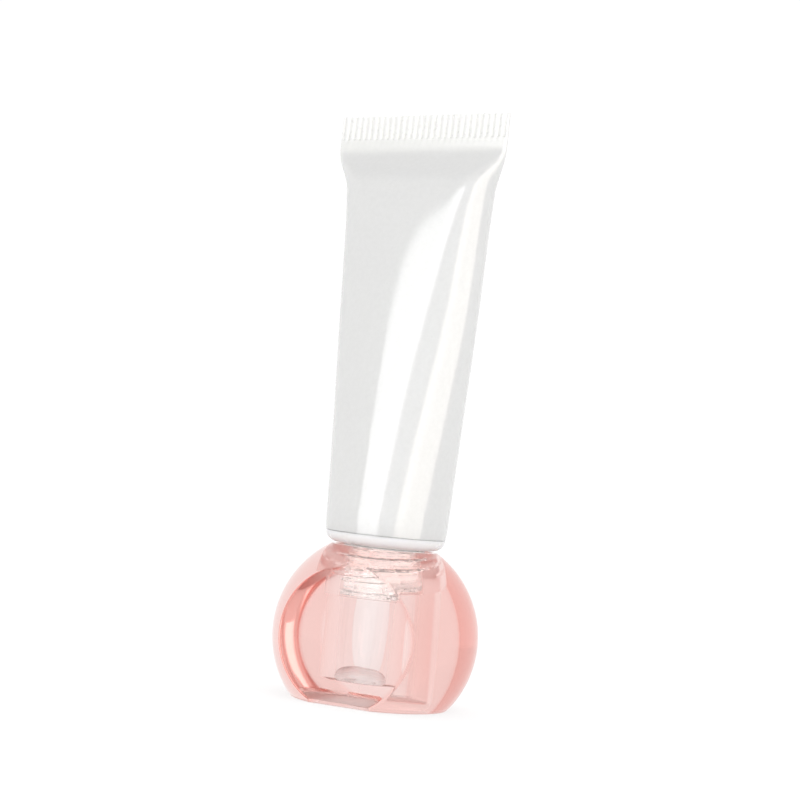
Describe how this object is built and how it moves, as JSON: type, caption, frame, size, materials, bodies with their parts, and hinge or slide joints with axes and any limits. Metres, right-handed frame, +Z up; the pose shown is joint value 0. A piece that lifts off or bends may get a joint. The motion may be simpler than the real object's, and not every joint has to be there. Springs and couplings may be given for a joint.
{
  "type": "lip gloss tube",
  "caption": "Squeeze tube for lip gloss with a crimped flat tail, standing on a clear ball-shaped screw cap with flat faces.",
  "frame": {"origin": "centre of the cap's flat base, which the object stands on", "axes": "+Z up along the tube towards its crimped tail; -Y is the cap's front flat face"},
  "size_m": [0.032, 0.0234, 0.0923],
  "materials": {
    "ball_cap": "clear pink, polished",
    "neck_washer": "soft natural plastic",
    "tube_head": "natural, satin",
    "tube_sleeve": "milky translucent, satin"
  },
  "bodies": {
    "cap": {"ball_cap": "ball_cap"},
    "washer": {"neck_washer": "neck_washer"},
    "tube": {"tube_head": "tube_head", "tube_sleeve": "tube_sleeve"}
  },
  "joints": [
    {"name": "tube_turn", "type": "hinge", "parent": "cap", "child": "washer", "pos_m": [0, 0, 0.0167], "axis": [0, 0, 1], "range_deg": [0, 990]},
    {"name": "tube_rise", "type": "slide", "parent": "washer", "child": "tube", "axis": [0, 0, 1], "range_m": [0, 0.0049]}
  ],
  "couplings": [
    {"joint": "tube_rise", "follows": "tube_turn", "m_per_rad": 0.00027852}
  ]
}
